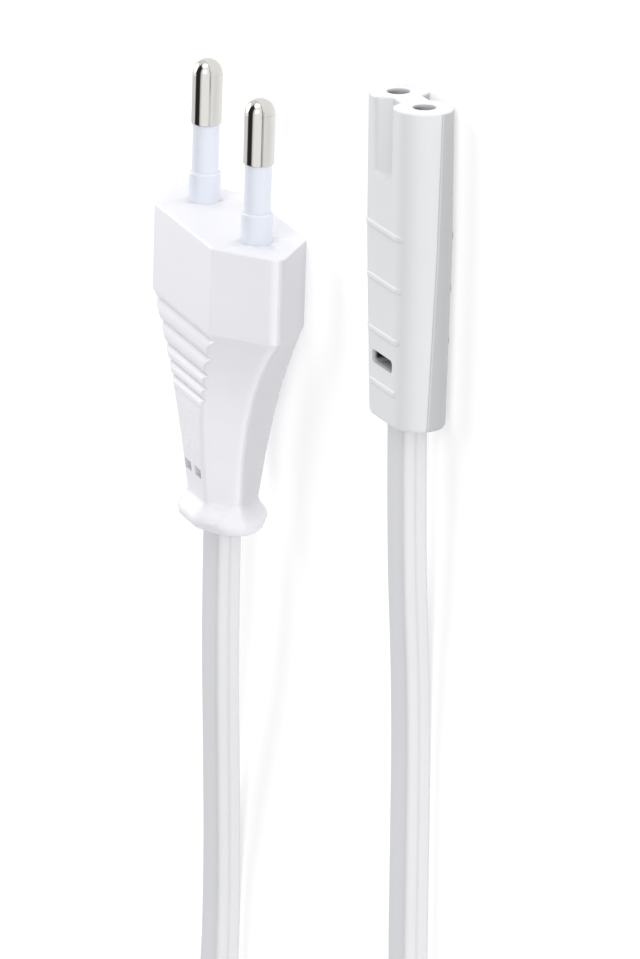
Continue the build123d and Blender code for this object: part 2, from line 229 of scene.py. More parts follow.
class Wire:
    """A socket in a node tree: arithmetic on it adds Math nodes, and node() adds any other node."""

    def __init__(self, tree, socket=None):
        self.tree = tree
        self.socket = socket

    def node(self, kind, settings=None, inputs=None, output=0):
        """Adds a node of one type with its settings, then gives its sockets their values or links."""
        made = self.tree.nodes.new(kind)
        for name, value in (settings or {}).items():
            setattr(made, name, value)
        for name, value in (inputs or {}).items():
            if isinstance(value, Wire):
                self.tree.links.new(value.socket, made.inputs[name])
            else:
                made.inputs[name].default_value = value
        return Wire(self.tree, made.outputs[output])

    def math(self, operation, first, second=0.0):
        return self.node("ShaderNodeMath", {"operation": operation}, {0: first, 1: second})

    def __add__(self, other):
        return self.math("ADD", self, other)

    def __radd__(self, other):
        return self.math("ADD", other, self)

    def __sub__(self, other):
        return self.math("SUBTRACT", self, other)

    def __rsub__(self, other):
        return self.math("SUBTRACT", other, self)

    def __mul__(self, other):
        return self.math("MULTIPLY", self, other)

    def __rmul__(self, other):
        return self.math("MULTIPLY", other, self)

    def __abs__(self):
        return self.math("ABSOLUTE", self)

    def sine(self):
        return self.math("SINE", self)

    def larger(self, other):
        return self.math("MAXIMUM", self, other)

    def fade(self, start, end):
        """One at start, falling smoothly to nothing at end."""
        return self.node(
            "ShaderNodeMapRange", {"interpolation_type": "SMOOTHSTEP"},
            {"Value": self, "From Min": start, "From Max": end, "To Min": 1.0, "To Max": 0.0},
        )

    def on_piece(self):
        """The place on the piece, in its own coordinates."""
        return self.node("ShaderNodeTexCoord", output="Object")

    def noise(self, place, scale, detail=2.0):
        return self.node(
            "ShaderNodeTexNoise", inputs={"Vector": place, "Scale": scale, "Detail": detail}, output="Fac"
        )

    def scaled(self, place, scale):
        """A place with each coordinate times its own scale."""
        return self.node("ShaderNodeMapping", inputs={"Vector": place, "Scale": scale})

    def tint(self, factor, first, second, blend="MIX"):
        """Mixes two colours, or the colour of a wire with another, by a factor."""
        ends = [end if isinstance(end, Wire) else (*end, 1.0) for end in (first, second)]
        return self.node(
            "ShaderNodeMix", {"data_type": "RGBA", "blend_type": blend},
            {"Factor": factor, "A": ends[0], "B": ends[1]}, output="Result",
        )


def shaded(colour, share):
    """A colour times a factor, darker below one and lighter above."""
    return tuple(part * share for part in colour)


def new_finish(name):
    """A fresh material with its shader and the wire that its nodes start from."""
    material = bpy.data.materials.new(name)
    material.use_nodes = True
    tree = material.node_tree
    return material, tree.nodes["Principled BSDF"], Wire(tree)


def plug_in(shader, wire, name):
    """Links a wire to one of the shader's sockets."""
    wire.tree.links.new(wire.socket, shader.inputs[name])


def bumped(shader, height, distance, strength):
    """Feeds a height to the shader's normal through a Bump node."""
    bump = height.node(
        "ShaderNodeBump", inputs={"Height": height, "Distance": distance, "Strength": strength}
    )
    plug_in(shader, bump, "Normal")


def moulded_finish(name, colour, roughness, above_seam, shade_strengths, inside, relief=None):
    """Satin moulded plastic: faint clouding, a fine grain, a dark line along the seam, and painted shade on
    the lower mould half below it.

    The shade strengths are those of the painted shade on the sides, of the painted shade on the lower half,
    and of the seam's dark line; inside gives the painted shade in recesses and on ribs.
    """
    material, shader, start = new_finish(name)
    place = start.on_piece()
    cloud = start.noise(place, 90.0, 3.0)
    grain = start.noise(place, 5200.0, 3.0)
    height, on_side = above_seam(place)
    seam = abs(height).fade(0.00003, 0.00014) * on_side
    # below: painted shade over the lower mould half, under the seam
    below = height.fade(-0.0004, 0.0001) * on_side
    sides, lower, line = shade_strengths
    # Painted shade on the sides, the lower half, the recesses and the ribs, with the seam's dark line, mixed
    # towards near black
    painted_shade = (sides * on_side + lower * below + line * seam).larger(inside(place))
    tone = start.tint(cloud, shaded(colour, 0.97), shaded(colour, 1.02))
    plug_in(shader, start.tint(painted_shade, tone, (0.01, 0.01, 0.011)), "Base Color")
    plug_in(shader, roughness + 0.10 * grain, "Roughness")
    depth = 0.25 * grain - 1.8 * seam
    if relief:
        depth = depth + relief(place)
    bumped(shader, depth, 0.00003, 0.6)
    shader.inputs["Specular IOR Level"].default_value = 0.42
    return material


def axes(place):
    """The three coordinates of a place."""
    return [place.node("ShaderNodeSeparateXYZ", inputs={0: place}, output=axis) for axis in "XYZ"]


def above_plug_seam(place):
    """Height above the plug's seam, which runs round its middle, and where the seam's sides are."""
    _, y, z = axes(place)
    behind_face = (y - PLUG_HIGH.y).fade(-0.0003, -0.0001)
    before_collar = 1.0 - (y - PLUG_LOW.y).fade(0.0002, 0.0050)
    return z - PLUG_Z, behind_face * before_collar


def rib_painted_shade(place):
    """Painted shade on the plug's ribs: darkest in each groove and on each rib's flank towards the pins."""
    x, y, z = axes(place)
    back = PLUG_HIGH.y - y
    beyond = abs(x - PLUG_X) - (RIB_REACH - RIB_NARROWING * (back - RIBS_AT))
    deep = RIB_LEVEL - RIB_FALL * (back - RIBS_AT) - abs(z - PLUG_Z)
    start = RIBS_AT
    painted_shade = 0.0
    for length, strength in RIBS:
        flank = back.fade(start, start + 0.6 * length) * (1.0 - back.fade(start - 0.0001, start))
        groove = abs(back - start).fade(0.0, 0.0003)
        painted_shade = painted_shade + strength * (flank + 0.4 * groove)
        start += length
    return painted_shade * deep.fade(0.00061, 0.00078) * beyond.fade(-0.0006, 0.0006)


def plug_painted_shade(place):
    """Painted shade on the plug's ribs, and inside the pair of mould pockets on each of its broad sides."""
    x, y, _ = axes(place)
    sizes = bpy.context.scene.lead_sizes
    from_pocket = y - (PLUG_HIGH.y - sizes.neck_at + sizes.pocket_to_neck)
    beside = abs(abs(x - PLUG_X) - sizes.pocket_pitch / 2).fade(0.00108, 0.00112)
    pockets = 0.22 * beside * abs(from_pocket).fade(0.00066, 0.00070)
    return pockets + rib_painted_shade(place)


def grip_relief(place):
    """Fine pebbled relief on the plug's broad sides, between the ribs and the pockets."""
    x, y, _ = axes(place)
    beside = abs(x - PLUG_X).fade(0.0022, 0.0040)
    along = abs(y - (PLUG_HIGH.y - PEBBLES_AT)).fade(0.0030, 0.0044)
    pebble = place.node(
        "ShaderNodeTexVoronoi", {"feature": "SMOOTH_F1"},
        {"Vector": place, "Scale": 1500.0, "Smoothness": 0.4}, output="Distance",
    )
    return 4.0 * (1.0 - pebble) * beside * along


def from_mouth(place):
    """A place in the connector's own frame: across it, out from its mouth, and up from its axis."""
    sizes = bpy.context.scene.lead_sizes
    turn = Matrix.Rotation(-sizes.connector_yaw, 3, "Z")
    shift = -(turn @ Vector(sizes.connector_place))
    return axes(place.node(
        "ShaderNodeMapping",
        inputs={"Vector": place, "Location": shift, "Rotation": (0, 0, -sizes.connector_yaw)},
    ))


def in_hole(across, out, up):
    """Where the connector's two holes are, near its mouth."""
    beside = abs(abs(across) - bpy.context.scene.lead_sizes.hole_spacing / 2)
    rim = (beside * beside + up * up).fade(HOLE_RIM[0] ** 2, HOLE_RIM[1] ** 2)
    return rim * (1.0 - out.fade(-0.025, -0.020))


def above_connector_seam(place):
    """Height above the connector's seam, which climbs towards the cord, and where the seam's sides are."""
    across, out, up = from_mouth(place)
    on_side = out.fade(-0.0003, -0.0001) * (1.0 - in_hole(across, out, up))
    return up + SEAM_DROP + SEAM_CLIMB * out, on_side


def connector_painted_shade(place):
    """Painted shade inside the connector's holes, darkest deep in a hole and towards its top, and inside its
    window and keying channels.
    """
    across, out, up = from_mouth(place)
    hole = in_hole(across, out, up) * out.fade(-0.0006, 0.0) * (0.35 + 0.6 * up.fade(0.0013, -0.0013))
    from_window = out + bpy.context.scene.lead_sizes.window_at
    in_window = abs(across).fade(0.00340, 0.00345) * abs(from_window).fade(0.00088, 0.00092)
    window = in_window * abs(up).fade(0.0027, 0.0034) * (1.0 - 0.7 * from_window.fade(-0.0009, -0.0003))
    along_channel = (1.0 - out.fade(-0.0098, -0.0094)) * out.fade(-0.0003, 0.0)
    channel = 0.13 * abs(across).fade(0.0020, 0.0027) * along_channel * abs(up).fade(0.0026, 0.0035)
    return hole.larger(window).larger(channel)


def sleeve_finish(colour):
    """Smooth, slightly blue hard plastic."""
    material, shader, start = new_finish("sleeve_plastic_look")
    place = start.on_piece()
    cloud = start.noise(place, 160.0)
    fine = start.noise(place, 2400.0)
    plug_in(shader, start.tint(cloud, shaded(colour, 0.985), colour), "Base Color")
    plug_in(shader, 0.26 + 0.06 * fine, "Roughness")
    bumped(shader, fine, 0.00001, 0.4)
    return material


def metal_finish(name, colour, roughness, streak):
    """Plated or drawn metal with fine marks that run along the streak's axis."""
    material, shader, start = new_finish(name)
    place = start.on_piece()
    marks = start.noise(start.scaled(place, streak), 900.0, 3.0)
    cloud = start.noise(place, 220.0)
    plug_in(shader, start.tint(cloud, shaded(colour, 0.96), colour), "Base Color")
    plug_in(shader, roughness + 0.08 * marks, "Roughness")
    bumped(shader, marks, 0.000004, 0.35)
    shader.inputs["Metallic"].default_value = 1.0
    return material


def sheath_finish(colour, flat_shaded_colour):
    """Flexible cord sheath: painted shade on the broad sides and in the narrow sides' creases, with a faint
    drawn grain along the cord.
    """
    material, shader, start = new_finish("cord_sheath_look")
    # The broad attribute is each point's share of painted shade
    broad = start.node("ShaderNodeAttribute", {"attribute_name": "broad"}, output="Fac")
    along = start.node("ShaderNodeUVMap", {"uv_map": "run"})
    grain = start.noise(start.scaled(along, (6.0, 260.0, 1.0)), 3.0, 3.0)
    cloud = start.noise(start.scaled(along, (40.0, 1.0, 1.0)), 1.0)
    painted_side_tones = start.tint(broad, colour, flat_shaded_colour)
    worn = start.tint(0.06 * cloud + 0.05 * grain, painted_side_tones, (0.6, 0.6, 0.62), "MULTIPLY")
    plug_in(shader, worn, "Base Color")
    plug_in(shader, 0.34 + 0.10 * grain, "Roughness")
    bumped(shader, grain, 0.00002, 0.35)
    shader.inputs["Specular IOR Level"].default_value = 0.4
    return material


def woven_finish(colour):
    """Woven tie: crossing threads read from the band's own map."""
    material, shader, start = new_finish("tie_weave")
    u, v, _ = axes(start.node("ShaderNodeUVMap", {"uv_map": "weave"}))
    turns = math.tau * THREADS_PER_METRE
    weave = 0.5 + 0.5 * ((u * turns).sine() * (v * turns).sine())
    plug_in(shader, start.tint(weave, shaded(colour, 0.72), colour), "Base Color")
    plug_in(shader, 0.85 - 0.15 * weave, "Roughness")
    bumped(shader, weave, 0.00008, 0.7)
    return material


def insulation_finish(name, colour):
    """Hard or soft insulation with faint drawn streaks."""
    material, shader, start = new_finish(name)
    place = start.on_piece()
    streaks = start.noise(start.scaled(place, (1.0, 0.1, 1.0)), 1800.0)
    plug_in(shader, start.tint(streaks, shaded(colour, 0.8), shaded(colour, 1.1)), "Base Color")
    plug_in(shader, 0.32 + 0.12 * streaks, "Roughness")
    bumped(shader, streaks, 0.00001, 0.3)
    return material


def floor_finish(colour):
    """Matt pale floor that glows a little, so that shadows on it stay faint."""
    material, shader, start = new_finish("pale_floor")
    place = start.on_piece()
    cloud = start.noise(place, 1.5)
    plug_in(shader, start.tint(cloud, shaded(colour, 0.995), colour), "Base Color")
    shader.inputs["Roughness"].default_value = 0.9
    shader.inputs["Emission Color"].default_value = (1.0, 1.0, 1.0, 1.0)
    shader.inputs["Emission Strength"].default_value = 0.50
    shader.inputs["Specular IOR Level"].default_value = 0.1
    return material


def only(piece):
    """Makes one object the only selected one, and the active one."""
    bpy.ops.object.select_all(action="DESELECT")
    piece.select_set(True)
    bpy.context.view_layer.objects.active = piece


def named(name):
    """Names the object that was just added, with its place and turn moved into its mesh."""
    piece = bpy.context.object
    piece.name = name
    piece.data.name = name
    bpy.ops.object.transform_apply(location=True, rotation=True, scale=True)
    return piece


def add_rod(name, x, low, high, radius, corners):
    """A cylinder along Y at a pin's height, between two Y levels."""
    bpy.ops.object.select_all(action="DESELECT")
    bpy.ops.mesh.primitive_cylinder_add(
        vertices=corners, radius=radius, depth=high - low, end_fill_type="NGON",
        location=(x, (low + high) / 2, PIN_Z), rotation=(-math.pi / 2, 0, 0),
    )
    return named(name)


def join_on(piece, others):
    """Joins other objects into a piece."""
    only(piece)
    for other in others:
        other.select_set(True)
    bpy.ops.object.join()


def outward():
    """In edit mode, turns every face of the active object outward."""
    bpy.ops.mesh.select_all(action="SELECT")
    bpy.ops.mesh.normals_make_consistent(inside=False)


def pick(piece, kind, test):
    """Selects the corners, edges or faces, in edit mode, whose every corner passes a test."""
    bpy.ops.mesh.select_mode(type={"verts": "VERT", "edges": "EDGE", "faces": "FACE"}[kind])
    bpy.ops.mesh.select_all(action="DESELECT")
    mesh = bmesh.from_edit_mesh(piece.data)
    count = 0
    for part in getattr(mesh, kind):
        corners = [part] if kind == "verts" else part.verts
        if all(test(corner.co) for corner in corners):
            part.select_set(True)
            count += 1
    bmesh.update_edit_mesh(piece.data)
    if not count:
        raise RuntimeError(f"no {kind} of {piece.name} are at that place")


def grow_face(piece, level, inset, rise):
    """Insets the end face at one Y level and pulls it out along Y."""
    pick(piece, "faces", lambda co: abs(co.y - level) < 1e-6)
    bpy.ops.mesh.inset(thickness=inset)
    bpy.ops.mesh.extrude_region_move(TRANSFORM_OT_translate={"value": (0, rise, 0)})


def round_picked(radius, segments):
    """Rounds the edges that are selected in edit mode."""
    bpy.ops.mesh.bevel(offset=radius, segments=segments, profile=0.5, affect="EDGES")


def round_end(piece, level, radius, segments):
    """Rounds the edge round the end face at one Y level."""
    pick(piece, "edges", lambda co: abs(co.y - level) < 1e-6)
    round_picked(radius, segments)


def cut(place, way):
    """In edit mode, cuts off what lies beyond a plane and closes the cut."""
    bpy.ops.mesh.select_all(action="SELECT")
    bpy.ops.mesh.bisect(plane_co=place, plane_no=way, use_fill=True, clear_outer=True, threshold=1e-7)


def finish_piece(piece, material, slot, *nodes, swell=None):
    """Gives a piece its finish, smooth shading and its body, and hides the solids that it stands for. The
    slot is not used.
    """
    only(piece)
    bpy.ops.object.shade_smooth_by_angle(angle=bpy.context.scene.lead_sizes.smooth_angle)
    if swell:
        bpy.ops.object.mode_set(mode="EDIT")
        pick(piece, "edges", swell)
        bpy.ops.mesh.mark_sharp(clear=True)
        bpy.ops.object.mode_set(mode="OBJECT")
    flats = piece.modifiers.new("flats", "WEIGHTED_NORMAL")
    flats.keep_sharp = True
    bpy.ops.object.modifier_apply(modifier=flats.name)
    piece.data.materials.clear()
    piece.data.materials.append(material)
    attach(piece, "root")
    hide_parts(*nodes)


def merged_copy(node, name):
    """A copy of a solid's mesh with its loose triangles joined, so that it can be shaded smooth."""
    piece = bpy.data.objects.new(name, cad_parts[node].data.copy())
    bpy.context.scene.collection.objects.link(piece)
    only(piece)
    bpy.ops.mesh.customdata_custom_splitnormals_clear()
    bpy.ops.object.mode_set(mode="EDIT")
    bpy.ops.mesh.select_all(action="SELECT")
    bpy.ops.mesh.remove_doubles(threshold=2e-6)
    bpy.ops.object.mode_set(mode="OBJECT")
    return piece


def eased(share):
    """A share of the way, slow at both ends."""
    share = min(max(share, 0.0), 1.0)
    return share * share * (3 - 2 * share)


def coil_points(sizes):
    """Control points of the turns: in along the lower layer, up at the inside, out along the upper layer."""
    leave = COIL_LEAVE + sizes.coil_turns * math.tau
    count = round((leave - COIL_ENTER) / math.tau * POINTS_PER_TURN)
    points = []
    for step in range(count):
        angle = COIL_ENTER + (leave - COIL_ENTER) * (step + 0.5) / count
        wound = min(angle - COIL_ENTER, leave - angle) / math.tau
        radius = (sizes.coil_radius - sizes.coil_pitch * wound) / math.cos(math.pi / POINTS_PER_TURN)
        climb = eased((angle - (COIL_ENTER + leave) / 2) / math.pi + 0.5)
        points.append((
            sizes.coil_centre[0] + radius * math.cos(angle),
            sizes.coil_centre[1] + radius * math.sin(angle),
            sizes.coil_low + (sizes.coil_high - sizes.coil_low) * climb,
        ))
    return points


def cord_route(sizes):
    """Control points of the cord's line, from inside the plug, round the coil, to inside the connector.

    The two stretches in which the cord turns on edge are given with them.
    """
    plug_side = [
        (-0.02243, -0.02567, 0.00665),
        (-0.02243, -0.04967, 0.00665),
        (-0.02833, -0.07467, 0.0034),
        (-0.03143, -0.09067, 0.0017),
        (-0.03143, -0.10467, 0.0017),
        (-0.03143, -0.13267, sizes.coil_low),
    ]
    connector_side = [
        (0.042371, -0.124914, sizes.coil_high),
        (0.036549, -0.097527, 0.0017),
        (0.033431, -0.082855, 0.0017),
        (0.03277, -0.06567, 0.0017),
        (0.03177, -0.04367, 0.0017),
        (0.033395, -0.020838, 0.0039),
        (0.032417, 0.000139, 0.0039),
    ]
    return plug_side + coil_points(sizes) + connector_side, (plug_side[-2:], connector_side[:2])


def smooth_line(points):
    """Points along the NURBS line that a list of control points gives."""
    curve = bpy.data.curves.new("cord_line", "CURVE")
    curve.dimensions = "3D"
    spline = curve.splines.new("NURBS")
    spline.points.add(len(points) - 1)
    for point, place in zip(spline.points, points):
        point.co = (*place, 1.0)
    spline.order_u = 3
    spline.use_endpoint_u = True
    spline.resolution_u = 8
    carrier = bpy.data.objects.new("cord_line", curve)
    bpy.context.scene.collection.objects.link(carrier)
    bpy.context.view_layer.update()
    line = bpy.data.meshes.new_from_object(carrier)
    places = [vertex.co.copy() for vertex in line.vertices]
    bpy.data.objects.remove(carrier)
    bpy.data.curves.remove(curve)
    bpy.data.meshes.remove(line)
    apart = [place for place, later in zip(places, places[1:]) if (later - place).length > 1e-6]
    return apart + places[-1:]


def cord_section(sizes):
    """Points round the cord's section, and each point's share of painted shade: full on the broad sides, a
    little less at their middle, some in the crease along each narrow side, none elsewhere on the narrow
    sides.
    """
    half_width, half_thick, corner = sizes.cord_width / 2, sizes.cord_thick / 2, sizes.cord_corner
    # Each point's third number is its share of painted shade: some in the narrow side's crease, none on the
    # narrow side
    quarter = [
        (half_width - sizes.cord_crease, 0.0, 0.55),
        (half_width - 0.3 * sizes.cord_crease, 0.00012, 0.45),
        (half_width, 0.00034, 0.0),
    ]
    # Painted shade grows round each corner from the narrow side to the broad side
    corner_tones = (0.0, 0.0, 0.1, 0.45, 0.9, 1.0)
    for step, tone in enumerate(corner_tones):
        turn = math.pi / 2 * step / (len(corner_tones) - 1)
        across = half_width - corner + corner * math.cos(turn)
        up = half_thick - corner + corner * math.sin(turn)
        quarter.append((across, up, tone))
    # The broad side's middle has a little less painted shade
    quarter.append((0.0, half_thick, 0.85))
    upper = quarter + [(-x, y, tone) for x, y, tone in reversed(quarter[:-1])]
    return upper + [(x, -y, tone) for x, y, tone in reversed(upper[1:-1])]


def turned_share(place, flat, edge):
    """How far the cord has turned on edge at a place between the flat and the edge end of a twist."""
    way = Vector(edge) - Vector(flat)
    return eased((place - Vector(flat)).dot(way) / way.length_squared)


def nearest(line, place):
    """Number of the line's point that is nearest to a place."""
    return min(range(len(line)), key=lambda number: (line[number] - Vector(place)).length)


def cord_rings(line, twists, section):
    """Corners of the section at each point of the line, and each point's distance along the line.

    A point of the line whose section would reach below the floor is lifted.
    """
    (in_flat, in_edge), (out_edge, out_flat) = twists
    into, out = nearest(line, in_edge), nearest(line, out_edge)
    corners, runs = [], []
    run = 0.0
    for number, place in enumerate(line):
        before = line[max(number - 1, 0)]
        way = (line[min(number + 1, len(line) - 1)] - before).normalized()
        beside = way.cross(Vector((0, 0, 1))).normalized()
        above = beside.cross(way)
        share = 1.0
        if number <= into:
            share = turned_share(place, in_flat, in_edge)
        elif number >= out:
            share = turned_share(place, out_flat, out_edge)
        turn = math.pi / 2 * share
        broad = beside * math.cos(turn) + above * math.sin(turn)
        narrow = above * math.cos(turn) - beside * math.sin(turn)
        place.z = max(place.z, max((broad * x + narrow * y).z for x, y, _ in section))
        corners += [place + broad * x + narrow * y for x, y, _ in section]
        run += (place - before).length
        runs.append(run)
    return corners, runs


def tube_faces(rings, count):
    """Faces of a closed tube whose rings have the same number of corners."""
    faces = []
    for near in range(0, (rings - 1) * count, count):
        for side in range(count):
            after = (side + 1) % count
            faces.append((near + side, near + after, near + count + after, near + count + side))
    faces.append(tuple(reversed(range(count))))
    faces.append(tuple(range((rings - 1) * count, rings * count)))
    return faces


class LEAD_OT_cord(bpy.types.Operator):
    """Lays the flat cord along its smooth line, from the plug round the coil to the connector"""

    bl_idname = "lead.cord"
    bl_label = "Cord"

    def add_tube(self, line, twists, section):
        """The cord's tube, with each corner's share of painted shade round the section and its own map."""
        corners, runs = cord_rings(line, twists, section)
        count = len(section)
        mesh = bpy.data.meshes.new("cord")
        mesh.from_pydata(corners, [], tube_faces(len(line), count))
        # Each corner's share of painted shade, kept in the broad attribute
        attribute = mesh.attributes.new("broad", "FLOAT", "POINT")
        attribute.data.foreach_set("value", [tone for _ in line for _, _, tone in section])
        layer = mesh.uv_layers.new(name="run")
        for loop, spot in zip(mesh.loops, layer.data):
            ring, side = divmod(loop.vertex_index, count)
            spot.uv = (runs[ring], side / count)
        cord = bpy.data.objects.new("cord", mesh)
        bpy.context.scene.collection.objects.link(cord)
        only(cord)
        bpy.ops.object.mode_set(mode="EDIT")
        outward()
        bpy.ops.object.mode_set(mode="OBJECT")
        return cord

    def execute(self, context):
        sizes, colours = context.scene.lead_sizes, context.scene.lead_colours
        controls, twists = cord_route(sizes)
        line = smooth_line(controls)
        cord = self.add_tube(line, twists, cord_section(sizes))
        finish_piece(
            cord, sheath_finish(colours.cord, colours.cord_flat_shaded), "cord_sheath",
            "cord_at_plug", "cord_coil", "cord_at_connector",
        )
        return {"FINISHED"}


class LEAD_OT_plug(bpy.types.Operator):
    """Dresses the plug's moulded body"""

    bl_idname = "lead.plug"
    bl_label = "Plug"

    def execute(self, context):
        shell = merged_copy("plug_body", "plug_shell")
        # Shade strengths: no painted shade on the sides, painted shade on the lower half, and the seam's dark
        # line
        finish = moulded_finish(
            "plug_plastic_look", context.scene.lead_colours.plug, 0.36, above_plug_seam, (0.0, 0.24, 0.12),
            plug_painted_shade, relief=grip_relief,
        )
        neck = PLUG_HIGH.y - context.scene.lead_sizes.neck_at

        def swells(co):
            """On the collar, or on the round of the face."""
            return PLUG_LOW.y + 1e-5 < co.y < neck + 1e-4 or PLUG_HIGH.y - 0.0005 < co.y

        finish_piece(shell, finish, "plug_plastic", "plug_body", swell=swells)
        return {"FINISHED"}


class LEAD_OT_pins(bpy.types.Operator):
    """Models the plated pins and the sleeves that hold them"""

    bl_idname = "lead.pins"
    bl_label = "Pins and sleeves"

    def add_pin(self, x, name):
        """A pin with a domed end, a softened foot and a thin shank."""
        radius = (PIN_HIGH.x - PIN_LOW.x) / 2
        foot = PIN_HIGH.y - bpy.context.scene.lead_sizes.pin_metal
        dome = PIN_HIGH.y - radius
        pin = add_rod(name, x, foot, dome, radius, 72)
        bpy.ops.object.mode_set(mode="EDIT")
        grow_face(pin, dome, PIN_STEP, radius)
        round_end(pin, PIN_HIGH.y, DOME_SHARE * (radius - PIN_STEP), 16)
        round_end(pin, foot, FOOT_ROUND, 3)
        grow_face(pin, foot, SHANK_INSET, PIN_LOW.y - foot)
        bpy.ops.object.mode_set(mode="OBJECT")
        return pin

    def add_sleeve(self, x):
        """A ring with a round shoulder at the plug's face, and the thinner sleeve that rises from it."""
        sizes = bpy.context.scene.lead_sizes
        ring, sleeve = sizes.ring_diameter / 2, sizes.sleeve_diameter / 2
        top = PLUG_HIGH.y + sizes.ring_height
        piece = add_rod("sleeve", x, PLUG_HIGH.y - SLEEVE_ROOT, top, ring, 64)
        bpy.ops.object.mode_set(mode="EDIT")
        round_end(piece, top, SHOULDER_ROUND, 4)
        grow_face(piece, top, ring - SHOULDER_ROUND - sleeve, PIN_HIGH.y - sizes.pin_metal - top)
        bpy.ops.object.mode_set(mode="OBJECT")
        return piece

    def add_bridge(self):
        """The hard bridge inside the plug that both sleeves grow from."""
        low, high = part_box("pin_bridge")
        front = PLUG_HIGH.y - SLEEVE_ROOT
        bpy.ops.object.select_all(action="DESELECT")
        bpy.ops.mesh.primitive_cube_add(
            size=1.0, location=((low.x + high.x) / 2, (low.y + front) / 2, (low.z + high.z) / 2),
            scale=(high.x - low.x, front - low.y, high.z - low.z),
        )
        piece = named("pin_bridge_block")
        bpy.ops.object.mode_set(mode="EDIT")
        bpy.ops.mesh.select_all(action="DESELECT")
        mesh = bmesh.from_edit_mesh(piece.data)
        for edge in mesh.edges:
            edge.select_set(abs(edge.verts[0].co.y - edge.verts[1].co.y) > 0.001)
        bmesh.update_edit_mesh(piece.data)
        round_picked(BRIDGE_ROUND, 4)
        bpy.ops.object.mode_set(mode="OBJECT")
        return piece

    def execute(self, context):
        sizes, colours = context.scene.lead_sizes, context.scene.lead_colours
        nickel = metal_finish("nickel_look", colours.nickel, 0.07, (1.0, 0.06, 1.0))
        sleeves = []
        for word, side in (("left", -1), ("right", 1)):
            x = PLUG_X + side * sizes.pin_spacing / 2
            pin = self.add_pin(x, f"pin_{word}_plated")
            finish_piece(pin, nickel, "nickel", f"pin_{word}")
            sleeves.append(self.add_sleeve(x))
        bridge = self.add_bridge()
        join_on(bridge, sleeves)
        finish_piece(bridge, sleeve_finish(colours.sleeve), "sleeve_plastic", "pin_bridge")
        bridge.name = "pin_sleeves"
        return {"FINISHED"}


class LEAD_OT_connector(bpy.types.Operator):
    """Dresses the appliance connector's moulded body and lengthens its grip bars"""

    bl_idname = "lead.connector"
    bl_label = "Connector"

    def add_slice(self, radius, spacing):
        """A slice of the connector's section, with both rims rounded, in edit mode."""
        bpy.ops.object.select_all(action="DESELECT")
        bpy.ops.mesh.primitive_cylinder_add(
            vertices=96, radius=radius, depth=BAR_WIDTH, end_fill_type="NGON", rotation=(math.pi / 2, 0, 0)
        )
        bar = named("grip_bar")
        bpy.ops.object.mode_set(mode="EDIT")
        for way in (-1, 1):
            pick(bar, "verts", lambda co: co.x * way > 1e-6)
            bpy.ops.transform.translate(value=(way * spacing / 2, 0, 0))
        for way in (-1, 1):
            round_end(bar, way * BAR_WIDTH / 2, BAR_ROUND, 3)
        return bar

    def add_bar(self, distance, length, run_out, side):
        """A grip bar: a slice of the section, grown a little, cut off inside the body, with sunk ends."""
        sizes = bpy.context.scene.lead_sizes
        taper = max(0.0, distance - TAPER_FROM) / (CONNECTOR_LENGTH - TAPER_FROM)
        radius = LOBE_RADIUS - LOBE_SHRINK * taper
        bar = self.add_slice(radius + sizes.bar_height, sizes.hole_spacing - SPACING_SHRINK * taper)
        root = radius - BAR_ROOT
        cut((0, 0, side * root), (0, 0, -side))
        for way in (-1, 1):
            end = way * length / 2

            def at_end(co):
                return abs(co.x - end) < 1e-6

            cut((end, 0, 0), (way, 0, 0))
            pick(bar, "edges", lambda co: at_end(co) and co.z * side > root + 0.0001)
            round_picked(BAR_ROUND, 3)
            pick(bar, "verts", at_end)
            bpy.ops.transform.translate(
                value=(0, 0, -BAR_SINK * side * sizes.bar_height), use_proportional_edit=True,
                proportional_edit_falloff="SMOOTH", proportional_size=run_out,
            )
        bpy.ops.object.mode_set(mode="OBJECT")
        turn = Matrix.Rotation(sizes.connector_yaw, 4, "Z")
        mouth = Matrix.Translation(Vector(sizes.connector_place)) @ turn
        bar.matrix_world = mouth @ Matrix.Translation((0, -distance, 0))
        bpy.ops.object.transform_apply(location=True, rotation=True, scale=True)
        return bar

    def execute(self, context):
        bars = []
        for number, (length, run_out) in enumerate(BARS):
            distance = BARS_AT + number * BAR_PITCH
            bars += [self.add_bar(distance, length, run_out, side) for side in (-1, 1)]
        shell = merged_copy("connector_body", "connector_shell")
        join_on(shell, bars)
        # Shade strengths: painted shade on the sides (all but the mouth face and holes), painted shade on the
        # lower half, and the seam's dark line
        finish = moulded_finish(
            "connector_plastic_look", context.scene.lead_colours.connector, 0.34, above_connector_seam,
            (0.13, 0.27, 0.24), connector_painted_shade,
        )
        finish_piece(shell, finish, "connector_plastic", "connector_body")
        return {"FINISHED"}


class LEAD_OT_inside(bpy.types.Operator):
    """Gives the contacts, wires and cores inside the mouldings their finishes"""

    bl_idname = "lead.inside"
    bl_label = "Inside"

    def execute(self, context):
        colours = context.scene.lead_colours
        brass = metal_finish("brass_look", colours.brass, 0.22, (1.0, 0.1, 1.0))
        copper = metal_finish("copper_look", colours.copper, 0.28, (1.0, 0.1, 1.0))
        brown = insulation_finish("core_brown_look", colours.core_brown)
        blue = insulation_finish("core_blue_look", colours.core_blue)
        carrier = insulation_finish("carrier_look", colours.carrier)
        finishes = {"contact_carrier": carrier, "contact_left": brass, "contact_right": brass}
        for end in ("plug", "connector"):
            finishes |= {f"{end}_wire_left": copper, f"{end}_wire_right": copper}
            finishes |= {f"{end}_core_left": brown, f"{end}_core_right": blue}
        for name, finish in finishes.items():
            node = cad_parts[name]
            node.data.materials.clear()
            node.data.materials.append(finish)
        return {"FINISHED"}


